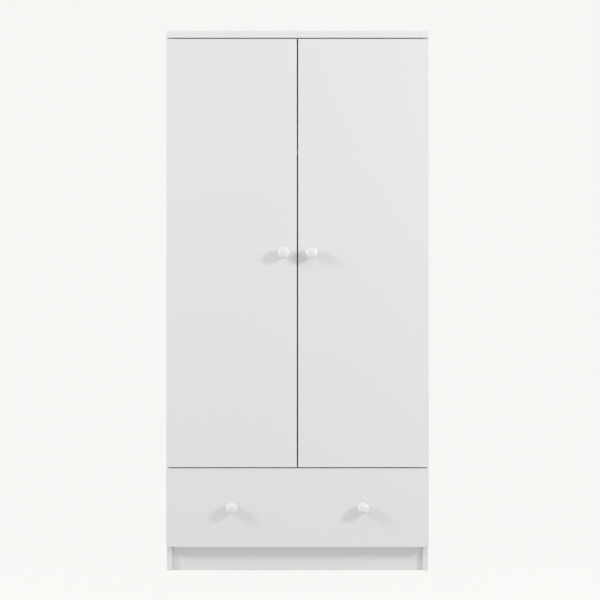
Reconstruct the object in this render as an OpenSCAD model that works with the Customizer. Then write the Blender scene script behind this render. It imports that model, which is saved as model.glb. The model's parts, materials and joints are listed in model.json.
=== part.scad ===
// Wardrobe with two hinged doors over one full-width drawer.
// The front faces -Y, +X is to the right and +Z is up. The origin is on the floor,
// at the middle of the overall width and of the overall depth with the knobs.

/* [Overall size] */
// Width over the side panels, the doors and the top board
wardrobe_w = 825; // [680:5:1000]
// Height from the floor to the top face
wardrobe_h = 1700; // [1350:10:2100]
// Depth from the door fronts to the rear face of the back panels
wardrobe_d = 500; // [400:5:620]

/* [Boards] */
// Thickness of the sides, doors, drawer front, decks, shelf and plinths
board_t = 18; // [15:1:22]
// Thickness of the top board
top_t = 22; // [18:1:30]
// Thickness of the back panels and the drawer bottom
back_t = 3; // [2.5:0.5:5]
// Thickness of the drawer's sides and back
drawer_board_t = 15; // [15:1:18]

/* [Fronts] */
// Gap between one front and the next, above and below
reveal = 3.5; // [2:0.5:4]
// Gap between the two doors
door_gap = 4; // [3:0.5:6]
// Gap between the back of the fronts and the edges of the carcass
front_gap = 3; // [3:0.5:4]
// Height of the drawer front
drawer_front_h = 247; // [220:1:320]

/* [Plinth] */
// Height of the plinth boards
plinth_h = 76; // [50:1:120]
// How far the drawer front stops above the lower face of the base panel
plinth_reveal = 2; // [0:0.5:6]
// How far the front plinth stands behind the edges of the side panels
plinth_setback = 10; // [0:1:40]
// How far the rear plinth stands in front of the back panels
rear_plinth_setback = 20; // [10:1:60]

/* [Shelf and rail] */
// Clear height between the shelf and the top board
shelf_space_h = 260; // [180:5:350]
// How far the shelf's front edge stands behind the edges of the side panels
shelf_setback = 30; // [10:1:80]
// Gap left round the shelf at its ends and its back
shelf_play = 1; // [1:0.5:2]
// Radius of a shelf pin
shelf_pin_r = 2.5; // [2:0.5:4]
// Length of a shelf pin inside the side panel
shelf_pin_sink = 10; // [6:1:12]
// Length of a shelf pin under the shelf
shelf_pin_reach = 9; // [6:1:15]
// Distance from the shelf's front and back edges to its pins
shelf_pin_inset = 50; // [20:1:100]
// Distance from the underside of the shelf down to the middle of the rail
rail_drop = 52; // [45:1:90]
// Width of the oval rail
rail_w = 15; // [12:1:20]
// Height of the oval rail
rail_h = 30; // [25:1:40]
// Wall of the rail
rail_wall = 1.2; // [1:0.1:2]
// Thickness of a rail socket's plate and of its collar
socket_t = 3; // [3:0.5:4]
// How far a rail socket's collar covers the rail
socket_depth = 14; // [8:1:25]
// How far a rail socket's plate reaches past the collar, above and below
socket_ear = 11; // [10:1:16]

/* [Hinges] */
// Number of hinges on each door
hinge_count = 3; // [2:1:5]
// Distance from a door's top and bottom edges to its outer hinges
hinge_end = 100; // [70:5:160]
// Radius of the hinge cup
cup_r = 17.5; // [17:0.5:18]
// Depth of the hinge cup in the door
cup_depth = 12; // [12:0.5:13]
// Wood left between the cup's bore and the door's edge
cup_edge = 3; // [3:0.5:4]
// Distance from the door's outer edge to the hinge pin
pivot_in = 7; // [6.8:0.1:7.2]
// Depth of the hinge pin below the door's back face
pivot_deep = 9; // [8.8:0.1:9.2]
// Radius of the hinge pin
pin_r = 1.25; // [1:0.05:1.3]
// Clearance all round a turning pin or axle
turn_clear = 0.05; // [0.02:0.01:0.1]
// Thickness of the arm's plate
arm_t = 2.4; // [2:0.1:2.5]
// Width of the arm's nose
arm_nose_w = 9; // [8:0.5:9]
// Width of the arm's body
arm_w = 13; // [12:0.5:15]
// Length of the arm's body
arm_l = 62; // [55:1:70]
// Distance from the edge of the side panel to the hinge plate's screws
plate_screw_in = 37; // [32:1:45]
// Distance between the two screws of a hinge plate
plate_screw_gap = 32; // [28:1:36]
// Thickness of the hinge plate
plate_t = 2.5; // [2.2:0.1:3]

/* [Knobs] */
// Diameter of the knob's head
knob_d = 37; // [30:1:45]
// Length of the knob's head
knob_head_l = 27; // [20:1:29]
// Length of the knob's neck
knob_neck_l = 5; // [3:0.5:10]
// Radius of the knob's neck
knob_neck_r = 8; // [6:0.5:9]
// Radius of the knob's foot on the door
knob_foot_r = 10; // [8:0.5:13]
// Thickness of the knob's foot
knob_foot_t = 1.6; // [1:0.2:2.6]
// Distance from a door's free edge to its knob
door_knob_in = 42; // [30:1:70]
// How far the door knobs sit above the middle of the doors
door_knob_rise = 0; // [-200:5:200]
// Distance between the two drawer knobs
drawer_knob_gap = 412; // [200:1:560]
// Radius of the knob's screw
knob_screw_r = 2; // [1.5:0.25:2.5]
// Length of the knob's screw inside the knob
knob_screw_in = 12; // [8:1:16]

/* [Drawer] */
// Height of the drawer's sides
drawer_box_h = 165; // [120:1:175]
// Distance from the lower edge of the drawer's sides to its bottom
drawer_bottom_up = 10; // [8:1:16]
// Depth of the grooves that hold the drawer's bottom
groove_d = 6; // [4:0.5:8]
// Width of the batten under the drawer's bottom
batten_w = 40; // [25:1:80]

/* [Runners] */
// Space between the drawer's side and the side panel
runner_space = 12.5; // [12.5:0.1:14]
// Distance between the runner's end and the back panels
runner_rear_space = 24; // [10:1:60]
// Distance from the base panel up to the track the drawer's roller runs on
runner_lift = 12; // [8:1:20]
// How far the drawer's sides stand above that track
drawer_rise = 4; // [2:0.5:8]
// Thickness of the runner's steel
runner_t = 1.2; // [1:0.1:1.5]
// Radius of a roller
roller_r = 11; // [9:0.5:12]
// Width of a roller
roller_w = 8; // [6:0.5:8]
// Radius of a roller's axle
axle_r = 2.5; // [2:0.1:3]
// Gap between a roller and its track
roller_gap = 0.3; // [0.2:0.05:0.5]
// Distance from the end of a runner to the middle of its roller
roller_in = 14; // [13:1:30]

/* [Fasteners] */
// Radius of a cam lock
cam_r = 7.5; // [6:0.5:7.5]
// Thickness of a cam lock
cam_t = 12.5; // [10:0.5:13]
// Distance from the end of a board to the middle of a cam lock
cam_in = 34; // [24:1:40]
// Radius of a cam bolt
bolt_r = 3; // [2.5:0.25:3.5]
// Length of a cam bolt or a dowel inside the face of a board
bolt_sink = 10; // [8:1:12]
// Radius of a wooden dowel
dowel_r = 4; // [3:0.5:4]
// Length of a wooden dowel
dowel_l = 30; // [25:1:40]
// Distance from a deck's front and back edges to its cam bolts
bolt_in = 55; // [40:1:70]
// Distance from a deck's front and back edges to its dowels
dowel_in = 110; // [90:1:140]
// Radius of a wood screw
screw_r = 1.75; // [1.5:0.25:2]
// Radius of a wood screw's head
screw_head_r = 3.6; // [3.2:0.1:4]
// Length of the short wood screws
screw_l = 14; // [10:1:15]
// Length of the screws through the drawer's sides
drawer_screw_l = 40; // [30:1:50]
// Radius of a nail in the back panels
nail_r = 0.9; // [0.7:0.1:1.2]
// Radius of a nail's head
nail_head_r = 2.6; // [2:0.1:3]
// Length of a nail
nail_l = 20; // [15:1:25]
// Largest distance between two nails
nail_pitch = 150; // [100:5:250]

/* [Back and wall brackets] */
// Width of the strip that joins the two back panels
strip_w = 24; // [16:1:40]
// Thickness of the strip's flanges
strip_t = 0.8; // [0.7:0.1:1]
// Thickness of the strip's web
strip_web_t = 1.2; // [1:0.1:2]
// How far the back panels stop short of the outside of the carcass
back_inset = 2; // [1:0.5:4]
// Distance between the two wall brackets
bracket_gap = 500; // [200:5:560]
// Width of a wall bracket
bracket_w = 40; // [25:1:60]
// Length of each leg of a wall bracket
bracket_leg = 38; // [30:1:60]
// Thickness of a wall bracket
bracket_t = 2; // [1.5:0.1:3]
// Radius of the wall bracket's hole for the wall bolt
wall_hole_r = 3; // [2.5:0.25:4]
// Radius of the clearance hole through the back panel
wall_clear_r = 6; // [5:0.5:9]

/* [Hidden] */
$fn = 48;

// Planes of the carcass
half_w = wardrobe_w / 2;
inner_x = half_w - board_t;
knob_reach = knob_neck_l + knob_head_l;
face_y = knob_reach - (knob_reach + wardrobe_d + strip_t) / 2;
fronts_back_y = face_y + board_t;
carcass_front_y = fronts_back_y + front_gap;
back_outer_y = face_y + wardrobe_d;
carcass_back_y = back_outer_y - back_t;
mid_y = (carcass_front_y + carcass_back_y) / 2;

// Heights of the boards
top_z = wardrobe_h - top_t;
base_top_z = plinth_h + board_t;
drawer_front_z = plinth_h + plinth_reveal;
drawer_front_top_z = drawer_front_z + drawer_front_h;
door_z = drawer_front_top_z + reveal;
door_top_z = top_z - reveal;
door_mid_z = (door_z + door_top_z) / 2;
deck_z = drawer_front_top_z + (reveal - board_t) / 2;
deck_top_z = deck_z + board_t;
shelf_z = top_z - shelf_space_h - board_t;
rail_z = shelf_z - rail_drop;
back_top_z = wardrobe_h - back_inset;

// Hinges, measured from the left door's outer edge, back face and the hinge's middle
hinge_step = (door_top_z - door_z - 2 * hinge_end) / (hinge_count - 1);
hinge_zs = [for (i = [0 : hinge_count - 1]) door_z + hinge_end + i * hinge_step];
cup_mid = cup_edge + cup_r;
pin_half_l = 7.5;
knuckle_r = 1.9;
knuckle_clear = 0.3;
nose_clear = 0.7;
pocket_half_w = arm_nose_w / 2 + nose_clear;
pocket_wall = pivot_in - knuckle_r - knuckle_clear;
pocket_floor = 0.7;
pocket_top = 3.9;
pocket_slope_z = 3 - pivot_deep;
pocket_end = 30;
flange_t = 1.2;
flange_rim = 1;
ear_in = 24;
ear_w = 12;
ear_half_l = 27.5;
cup_screw_half = 22.5;
cup_screw_l = 12;
elbow_gap = 2;
elbow_in = board_t + elbow_gap;
nose_gap = 3;
arm_front = front_gap + nose_gap;
arm_roof = 11;
arm_wall = 1.2;
plate_half_w = 9;
plate_l = 32;
wing_w = 12;
wing_end = 7;
wing_half_l = plate_screw_gap / 2 + wing_end;
block_clear = 0.3;
block_half_w = arm_w / 2 - arm_wall - block_clear;
arm_screw_r = 2;
arm_screw_head_r = 3.6;
arm_screw_head_t = 1.8;
arm_screw_in = 15;

// Doors and drawer
door_w = (wardrobe_w - door_gap) / 2;
door_knob_x = door_gap / 2 + door_knob_in;
door_knob_z = door_mid_z + door_knob_rise;
drawer_knob_x = drawer_knob_gap / 2;
drawer_knob_z = drawer_front_z + drawer_front_h / 2;
knob_head_t = 2.4;
knob_head_r = 4;
runner_setback = 2;
runner_front_y = carcass_front_y + runner_setback;
runner_back_y = carcass_back_y - runner_rear_space;
drawer_back_y = runner_back_y - runner_front_y + fronts_back_y;
track_z = base_top_z + runner_lift;
track_play = 2;
flange_z = track_z + 2 * roller_r + track_play;
flange_play = 0.8;
runner_top_z = flange_z + runner_t + flange_play;
drawer_z = track_z + drawer_rise;
drawer_top_z = drawer_z + drawer_box_h;
drawer_bottom_z = drawer_z + drawer_bottom_up;
drawer_out_x = inner_x - runner_space;
drawer_in_x = drawer_out_x - drawer_board_t;
drawer_mid_x = (drawer_out_x + drawer_in_x) / 2;
cabinet_roller_y = runner_front_y + roller_in;
cabinet_roller_z = flange_z - roller_gap - roller_r;
drawer_roller_y = drawer_back_y - roller_in;
drawer_roller_z = track_z + roller_gap + roller_r;
roller_side = 0.6;
axle_end = 0.3;
axle_head_r = 4;
axle_head_t = 0.6;
flange_end_gap = 0.6;
flange_w = runner_space - runner_t - flange_end_gap;
drawer_flange_w = 11;
tip_gap = 1;
drawer_runner_screw_l = drawer_bottom_up + runner_t - tip_gap;

// Places of the fasteners
cam_ys = [carcass_front_y + bolt_in, carcass_back_y - bolt_in];
dowel_ys = [carcass_front_y + dowel_in, carcass_back_y - dowel_in];
deck_mid_zs = [plinth_h + board_t / 2, deck_z + board_t / 2];
plinth_ys = [carcass_front_y + plinth_setback, carcass_back_y - rear_plinth_setback - board_t];
plinth_dowel_zs = [plinth_h / 3, plinth_h * 2 / 3];
bolt_l = bolt_sink + cam_in - cam_r;
side_mid_x = half_w - board_t / 2;
pin_ys = [carcass_front_y + shelf_setback + shelf_pin_inset, carcass_back_y - shelf_pin_inset];
runner_screw_in = 37;
runner_screw_ys = [runner_front_y + runner_screw_in, mid_y, runner_back_y - runner_screw_in];
drawer_screw_ys = [
    fronts_back_y + runner_screw_in,
    (fronts_back_y + drawer_back_y) / 2,
    drawer_back_y - runner_screw_in
];
drawer_low_in = 50;
drawer_high_in = 35;
drawer_fixing_zs = [drawer_z + drawer_low_in, drawer_top_z - drawer_high_in];
drawer_head_t = 2.2;
socket_screw_half = rail_h / 2 + socket_t + (socket_ear - socket_t) / 2;
bracket_hole_up = 13;
bracket_hole_z = top_z - bracket_leg + bracket_hole_up;
bracket_screw_end = 12;
bracket_screw_y = carcass_back_y - bracket_leg + bracket_screw_end;
bracket_screw_side = 8;
bracket_screw_half = bracket_w / 2 - bracket_screw_side;
bumper_r = 3;
bumper_in = 30;
bumper_xs = [bumper_in, inner_x - bumper_in];
bumper_gap = 0.3;
bumper_z = (door_z + deck_top_z) / 2;
nail_head_t = 0.7;
nail_end = 30;
nail_side_run = back_top_z - plinth_h - 2 * nail_end;
nail_side_steps = ceil(nail_side_run / nail_pitch);
nail_side_zs = [
    for (i = [0 : nail_side_steps]) plinth_h + nail_end + i * nail_side_run / nail_side_steps
];
nail_corner = 40;
nail_deck_run = half_w - nail_end - nail_corner;
nail_deck_steps = ceil(nail_deck_run / nail_pitch);
nail_deck_step = nail_deck_run / nail_deck_steps;
nail_deck_xs = [for (i = [1 : nail_deck_steps]) -nail_end - (i - 1 / 2) * nail_deck_step];
nail_deck_zs = [deck_mid_zs[0], deck_mid_zs[1], top_z + top_t / 2];
overcut = 1;

// Box between two opposite corners
module slab(low, high) {
    translate(low) cube(high - low);
}

// The same shape again on the right-hand side
module both_sides() {
    children();
    mirror([1, 0, 0]) children();
}

// Rods that start at a point and run along an axis
module rod_x(start, length, r) {
    translate(start) rotate([0, 90, 0]) cylinder(h = length, r = r);
}

module rod_y(start, length, r) {
    translate(start) rotate([-90, 0, 0]) cylinder(h = length, r = r);
}

module rod_z(start, length, r) {
    translate(start) cylinder(h = length, r = r);
}

// Countersunk screw, flush at z = 0 and running up +Z
module flush_screw(length, head_t) {
    cylinder(h = head_t, r1 = screw_head_r, r2 = screw_r);
    cylinder(h = length, r = screw_r);
}

// Outline with two round ends, as tall as h and as wide as w
module oval(w, h) {
    square([w, h - w], center = true);
    for (side = [-1, 1]) {
        translate([0, side * (h - w) / 2]) circle(d = w);
    }
}

// Cam bolts of the left side, in the decks and the top board
module left_bolts() {
    for (y = cam_ys) {
        for (z = deck_mid_zs) {
            rod_x([-inner_x - bolt_sink, y, z], bolt_l, bolt_r);
        }
        rod_z([-side_mid_x, y, top_z + bolt_sink - bolt_l], bolt_l, bolt_r);
    }
}

// Cam locks of the left side, sunk in the decks' lower faces and the side panel
module left_cams() {
    for (y = cam_ys) {
        for (z = deck_mid_zs) {
            rod_z([-inner_x + cam_in, y, z - board_t / 2], cam_t, cam_r);
        }
        rod_x([-inner_x - cam_t, y, top_z - cam_in], cam_t, cam_r);
    }
}

// Dowels of the left side, in the decks, the top board and the plinths
module left_dowels() {
    for (y = dowel_ys) {
        for (z = deck_mid_zs) {
            rod_x([-inner_x - bolt_sink, y, z], dowel_l, dowel_r);
        }
        rod_z([-side_mid_x, y, top_z + bolt_sink - dowel_l], dowel_l, dowel_r);
    }
    for (y = plinth_ys) {
        for (z = plinth_dowel_zs) {
            rod_x([-inner_x - bolt_sink, y + board_t / 2, z], dowel_l, dowel_r);
        }
    }
}

// Nails along the left half of the back
module left_nails() {
    sites = concat(
        [for (z = nail_side_zs) [-side_mid_x, z]],
        [for (x = nail_deck_xs, z = nail_deck_zs) [x, z]]
    );
    for (site = sites) {
        rod_y([site[0], back_outer_y, site[1]], nail_head_t, nail_head_r);
        rod_y([site[0], back_outer_y - nail_l, site[1]], nail_l, nail_r);
    }
}

module left_shelf_pins() {
    for (y = pin_ys) {
        rod_x([-inner_x - shelf_pin_sink, y, shelf_z - shelf_pin_r],
              shelf_pin_sink + shelf_pin_reach, shelf_pin_r);
    }
}

module left_socket_screws() {
    for (side = [-1, 1]) {
        translate([-inner_x + socket_t, mid_y, rail_z + side * socket_screw_half])
            rotate([0, -90, 0]) flush_screw(screw_l, socket_t);
    }
}

module left_runner_screws() {
    for (y = runner_screw_ys) {
        translate([-inner_x + runner_t, y, (track_z + flange_z) / 2])
            rotate([0, -90, 0]) flush_screw(screw_l, runner_t);
    }
}

module left_bracket_screws() {
    for (side = [-1, 1]) {
        translate([-bracket_gap / 2 + side * bracket_screw_half, bracket_screw_y,
                   top_z - bracket_t]) flush_screw(screw_l, bracket_t);
    }
}

// Places its children at the left door's outer edge and back face, at each hinge
module at_left_hinges() {
    for (z = hinge_zs) {
        translate([-half_w, fronts_back_y, z]) children();
    }
}

module plate_screws() {
    for (side = [-1, 1]) {
        translate([board_t + plate_t, front_gap + plate_screw_in, side * plate_screw_gap / 2])
            rotate([0, -90, 0]) flush_screw(screw_l, plate_t);
    }
}

module arm_screw() {
    at = [board_t + arm_roof, front_gap + plate_screw_in + arm_screw_in, 0];
    rod_x(at, arm_screw_head_t, arm_screw_head_r);
    rod_x(at - [arm_roof - plate_t, 0, 0], arm_roof - plate_t, arm_screw_r);
}

// Cranked hinge arm: knuckle, nose and a channel over the hinge plate
module hinge_arm() {
    nose = [
        [pivot_in, -pivot_deep - arm_t / 2],
        [elbow_in + arm_t / 2, -pivot_deep - arm_t / 2],
        [elbow_in + arm_t / 2, arm_front],
        [board_t + arm_roof, arm_front],
        [board_t + arm_roof, arm_front + arm_t],
        [elbow_in - arm_t / 2, arm_front + arm_t],
        [elbow_in - arm_t / 2, -pivot_deep + arm_t / 2],
        [pivot_in, -pivot_deep + arm_t / 2]
    ];
    difference() {
        union() {
            translate([0, 0, -arm_nose_w / 2]) {
                linear_extrude(arm_nose_w) polygon(nose);
                rod_z([pivot_in, -pivot_deep, 0], arm_nose_w, knuckle_r);
            }
            slab([board_t + arm_roof - arm_wall, arm_front, -arm_w / 2],
                 [board_t + arm_roof, arm_front + arm_l, arm_w / 2]);
            for (side = [-1, 1]) {
                translate([0, 0, side * (arm_w - arm_wall) / 2])
                    slab([board_t + plate_t, arm_front, -arm_wall / 2],
                         [board_t + arm_roof, arm_front + arm_l, arm_wall / 2]);
            }
        }
        rod_z([pivot_in, -pivot_deep, -arm_nose_w / 2 - overcut],
              arm_nose_w + 2 * overcut, pin_r + turn_clear);
        arm_screw();
    }
}

// Mounting plate with its wings and the block that the arm is screwed to
module hinge_plate() {
    mid = front_gap + plate_screw_in;
    difference() {
        union() {
            slab([board_t, mid - wing_w / 2, -wing_half_l],
                 [board_t + plate_t, mid + wing_w / 2, wing_half_l]);
            slab([board_t, mid - wing_w / 2, -plate_half_w],
                 [board_t + plate_t, mid - wing_w / 2 + plate_l, plate_half_w]);
            slab([board_t, mid - wing_w / 2, -block_half_w],
                 [board_t + arm_roof - arm_wall, mid - wing_w / 2 + plate_l, block_half_w]);
        }
        plate_screws();
        arm_screw();
    }
}

module hinge_pin() {
    rod_z([pivot_in, -pivot_deep, -pin_half_l], 2 * pin_half_l, pin_r);
}

module cup_screws() {
    for (side = [-1, 1]) {
        translate([ear_in + ear_w / 2, flange_t, side * cup_screw_half])
            rotate([90, 0, 0]) flush_screw(cup_screw_l, flange_t);
    }
}

// Hinge cup with its flange, and the pocket that the arm's nose works in
module hinge_cup() {
    pocket = [
        [pocket_wall, pocket_floor - cup_depth],
        [pocket_end, pocket_floor - cup_depth],
        [pocket_end, 0],
        [pocket_top, 0],
        [pocket_wall, pocket_slope_z]
    ];
    difference() {
        union() {
            rod_y([cup_mid, -cup_depth, 0], cup_depth, cup_r);
            rod_y([cup_mid, 0, 0], flange_t, cup_r + flange_rim);
            slab([ear_in, 0, -ear_half_l], [ear_in + ear_w, flange_t, ear_half_l]);
        }
        translate([0, 0, -pocket_half_w]) linear_extrude(2 * pocket_half_w) polygon(pocket);
        slab([0, 0, -pocket_half_w], [pocket_end, flange_t + overcut, pocket_half_w]);
        hinge_pin();
        cup_screws();
    }
}

// Knob standing on the plane z = 0, with the blind hole for its screw
module knob() {
    head_r = knob_head_l / 2;
    core_r = knob_d / 2 - head_r;
    head_z = knob_neck_l + head_r;
    difference() {
        rotate_extrude() {
            square([knob_foot_r, knob_foot_t]);
            square([knob_neck_r, head_z]);
            translate([0, knob_neck_l]) square([core_r, knob_head_l]);
            intersection() {
                translate([core_r, head_z]) circle(r = head_r);
                translate([0, knob_neck_l]) square([knob_d, knob_head_l]);
            }
        }
        rod_z([0, 0, -overcut], knob_screw_in + overcut, knob_screw_r);
    }
}

// Screw from the back of a front, through it and into the knob
module knob_screw() {
    rod_z([0, 0, -board_t], board_t + knob_screw_in, knob_screw_r);
    rod_z([0, 0, -board_t - knob_head_t], knob_head_t, knob_head_r);
}

// Places its children on the front plane, facing the room
module on_front(x, z) {
    translate([x, face_y, z]) rotate([90, 0, 0]) children();
}

module side_panel() {
    difference() {
        slab([-half_w, carcass_front_y, 0], [-inner_x, carcass_back_y, top_z]);
        left_bolts();
        left_cams();
        left_dowels();
        left_nails();
        left_shelf_pins();
        left_socket_screws();
        left_runner_screws();
        at_left_hinges() plate_screws();
    }
}

module left_side_panel() {
    color("whitesmoke") side_panel();
}

module right_side_panel() {
    color("whitesmoke") mirror([1, 0, 0]) side_panel();
}

module top_panel() {
    color("white") difference() {
        slab([-half_w, face_y, top_z], [half_w, carcass_back_y, wardrobe_h]);
        both_sides() {
            left_bolts();
            left_dowels();
            left_nails();
            left_bracket_screws();
        }
    }
}

// Board across the carcass, drilled for its fittings
module deck(low_z) {
    difference() {
        slab([-inner_x, carcass_front_y, low_z], [inner_x, carcass_back_y, low_z + board_t]);
        both_sides() {
            left_bolts();
            left_cams();
            left_dowels();
            left_nails();
        }
    }
}

module base_panel() {
    color("whitesmoke") deck(plinth_h);
}

module hanging_space_floor() {
    color("whitesmoke") deck(deck_z);
}

module plinth(y) {
    difference() {
        slab([-inner_x, y, 0], [inner_x, y + board_t, plinth_h]);
        both_sides() left_dowels();
    }
}

module front_plinth() {
    color("whitesmoke") plinth(plinth_ys[0]);
}

module rear_plinth() {
    color("whitesmoke") plinth(plinth_ys[1]);
}

module top_shelf() {
    color("whitesmoke") slab(
        [-inner_x + shelf_play, carcass_front_y + shelf_setback, shelf_z],
        [inner_x - shelf_play, carcass_back_y - shelf_play, shelf_z + board_t]
    );
}

module back_leaf() {
    difference() {
        slab([-half_w + back_inset, carcass_back_y, plinth_h],
             [-strip_web_t / 2, back_outer_y, back_top_z]);
        left_nails();
        rod_y([-bracket_gap / 2, carcass_back_y - overcut, bracket_hole_z],
              back_t + 2 * overcut, wall_clear_r);
    }
}

module back_panel_left() {
    color("burlywood") back_leaf();
}

module back_panel_right() {
    color("burlywood") mirror([1, 0, 0]) back_leaf();
}

module back_joining_strip() {
    bays = [[base_top_z, deck_z], [deck_top_z, top_z]];
    color("white") {
        slab([-strip_web_t / 2, carcass_back_y, plinth_h],
             [strip_web_t / 2, back_outer_y, back_top_z]);
        slab([-strip_w / 2, back_outer_y, plinth_h],
             [strip_w / 2, back_outer_y + strip_t, back_top_z]);
        for (bay = bays) {
            slab([-strip_w / 2, carcass_back_y - strip_t, bay[0]],
                 [strip_w / 2, carcass_back_y, bay[1]]);
        }
    }
}

module back_panel_nails() {
    color("silver") both_sides() left_nails();
}

module hanging_rail() {
    end_x = inner_x - socket_t;
    color("silver") translate([-end_x, mid_y, rail_z]) rotate([90, 0, 90])
        linear_extrude(2 * end_x) difference() {
            oval(rail_w, rail_h);
            oval(rail_w - 2 * rail_wall, rail_h - 2 * rail_wall);
        }
}

module rail_socket() {
    difference() {
        translate([-inner_x, mid_y, rail_z]) rotate([90, 0, 90]) {
            linear_extrude(socket_t)
                oval(rail_w + 2 * socket_t, rail_h + 2 * socket_t + 2 * socket_ear);
            linear_extrude(socket_t + socket_depth) difference() {
                oval(rail_w + 2 * socket_t, rail_h + 2 * socket_t);
                oval(rail_w, rail_h);
            }
        }
        left_socket_screws();
    }
}

module rail_socket_left() {
    color("silver") rail_socket();
}

module rail_socket_right() {
    color("silver") mirror([1, 0, 0]) rail_socket();
}

module rail_socket_screws() {
    color("silver") both_sides() left_socket_screws();
}

module shelf_pins() {
    color("silver") both_sides() left_shelf_pins();
}

module left_hinge_arms() {
    color("silver") at_left_hinges() hinge_arm();
}

module right_hinge_arms() {
    color("silver") mirror([1, 0, 0]) at_left_hinges() hinge_arm();
}

module hinge_plates() {
    color("silver") both_sides() at_left_hinges() hinge_plate();
}

module hinge_screws() {
    color("silver") both_sides() at_left_hinges() {
        plate_screws();
        arm_screw();
    }
}

// Channel on the side panel, with the axle that its roller turns on
module cabinet_runner() {
    web_x = -inner_x + runner_t;
    axle_l = roller_side + roller_w + axle_end;
    difference() {
        union() {
            slab([-inner_x, runner_front_y, track_z - runner_t],
                 [web_x, runner_back_y, runner_top_z + runner_t]);
            slab([-inner_x, runner_front_y, track_z - runner_t],
                 [web_x + flange_w, runner_back_y, track_z]);
            slab([-inner_x, runner_front_y, runner_top_z],
                 [web_x + flange_w, runner_back_y, runner_top_z + runner_t]);
            rod_x([web_x, cabinet_roller_y, cabinet_roller_z], axle_l, axle_r);
            rod_x([web_x + axle_l, cabinet_roller_y, cabinet_roller_z], axle_head_t, axle_head_r);
        }
        left_runner_screws();
    }
}

module cabinet_runner_left() {
    color("white") cabinet_runner();
}

module cabinet_runner_right() {
    color("white") mirror([1, 0, 0]) cabinet_runner();
}

module cabinet_runner_screws() {
    color("silver") both_sides() left_runner_screws();
}

module cabinet_cam_locks() {
    color("silver") both_sides() left_cams();
}

module cabinet_cam_bolts() {
    color("silver") both_sides() left_bolts();
}

module cabinet_dowels() {
    color("burlywood") both_sides() left_dowels();
}

module wall_bracket() {
    x = -bracket_gap / 2;
    difference() {
        union() {
            slab([x - bracket_w / 2, carcass_back_y - bracket_leg, top_z - bracket_t],
                 [x + bracket_w / 2, carcass_back_y, top_z]);
            slab([x - bracket_w / 2, carcass_back_y - bracket_t, top_z - bracket_leg],
                 [x + bracket_w / 2, carcass_back_y, top_z]);
        }
        left_bracket_screws();
        rod_y([x, carcass_back_y - bracket_t - overcut, bracket_hole_z],
              bracket_t + 2 * overcut, wall_hole_r);
    }
}

module wall_brackets() {
    color("silver") both_sides() wall_bracket();
}

module wall_bracket_screws() {
    color("silver") both_sides() left_bracket_screws();
}

module door_bumpers() {
    color("gainsboro") both_sides() for (x = bumper_xs) {
        rod_y([-x, fronts_back_y + bumper_gap, bumper_z], front_gap - bumper_gap, bumper_r);
    }
}

module door_panel() {
    difference() {
        slab([-half_w, face_y, door_z], [-half_w + door_w, fronts_back_y, door_top_z]);
        at_left_hinges() {
            rod_y([cup_mid, -cup_depth, 0], cup_depth + overcut, cup_r);
            cup_screws();
        }
        on_front(-door_knob_x, door_knob_z) knob_screw();
    }
}

module left_door_panel() {
    color("white") door_panel();
}

module right_door_panel() {
    color("white") mirror([1, 0, 0]) door_panel();
}

module left_door_knob() {
    color("snow") on_front(-door_knob_x, door_knob_z) knob();
}

module right_door_knob() {
    color("snow") on_front(door_knob_x, door_knob_z) knob();
}

module left_knob_screw() {
    color("silver") on_front(-door_knob_x, door_knob_z) knob_screw();
}

module right_knob_screw() {
    color("silver") on_front(door_knob_x, door_knob_z) knob_screw();
}

module left_hinge_cups() {
    color("silver") at_left_hinges() hinge_cup();
}

module right_hinge_cups() {
    color("silver") mirror([1, 0, 0]) at_left_hinges() hinge_cup();
}

module left_hinge_pins() {
    color("silver") at_left_hinges() hinge_pin();
}

module right_hinge_pins() {
    color("silver") mirror([1, 0, 0]) at_left_hinges() hinge_pin();
}

module left_cup_screws() {
    color("silver") at_left_hinges() cup_screws();
}

module right_cup_screws() {
    color("silver") mirror([1, 0, 0]) at_left_hinges() cup_screws();
}

// Drawer fasteners of the left side
module left_drawer_cams() {
    for (z = drawer_fixing_zs) {
        rod_y([-drawer_mid_x, fronts_back_y - bolt_sink, z], bolt_l, bolt_r);
        rod_x([-drawer_out_x, fronts_back_y + cam_in, z], cam_t, cam_r);
    }
}

module left_drawer_back_screws() {
    for (z = drawer_fixing_zs) {
        translate([-drawer_out_x, drawer_back_y - drawer_board_t / 2, z])
            rotate([0, 90, 0]) flush_screw(drawer_screw_l, drawer_head_t);
    }
}

module left_drawer_runner_screws() {
    for (y = drawer_screw_ys) {
        translate([-drawer_mid_x, y, drawer_z - runner_t])
            flush_screw(drawer_runner_screw_l, runner_t);
    }
}

// The drawer's bottom, seated in the grooves of the front and the sides
module bottom_sheet() {
    slab([-drawer_in_x - groove_d, fronts_back_y - groove_d, drawer_bottom_z],
         [drawer_in_x + groove_d, drawer_back_y, drawer_bottom_z + back_t]);
}

module drawer_front() {
    color("white") difference() {
        slab([-half_w, face_y, drawer_front_z], [half_w, fronts_back_y, drawer_front_top_z]);
        both_sides() {
            left_drawer_cams();
            on_front(-drawer_knob_x, drawer_knob_z) knob_screw();
        }
        bottom_sheet();
    }
}

module drawer_side() {
    difference() {
        slab([-drawer_out_x, fronts_back_y, drawer_z], [-drawer_in_x, drawer_back_y, drawer_top_z]);
        left_drawer_cams();
        left_drawer_back_screws();
        left_drawer_runner_screws();
        bottom_sheet();
    }
}

module drawer_side_left() {
    color("whitesmoke") drawer_side();
}

module drawer_side_right() {
    color("whitesmoke") mirror([1, 0, 0]) drawer_side();
}

module drawer_back() {
    color("whitesmoke") difference() {
        slab([-drawer_in_x, drawer_back_y - drawer_board_t, drawer_bottom_z + back_t],
             [drawer_in_x, drawer_back_y, drawer_top_z]);
        both_sides() left_drawer_back_screws();
    }
}

module drawer_bottom() {
    color("white") bottom_sheet();
}

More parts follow.
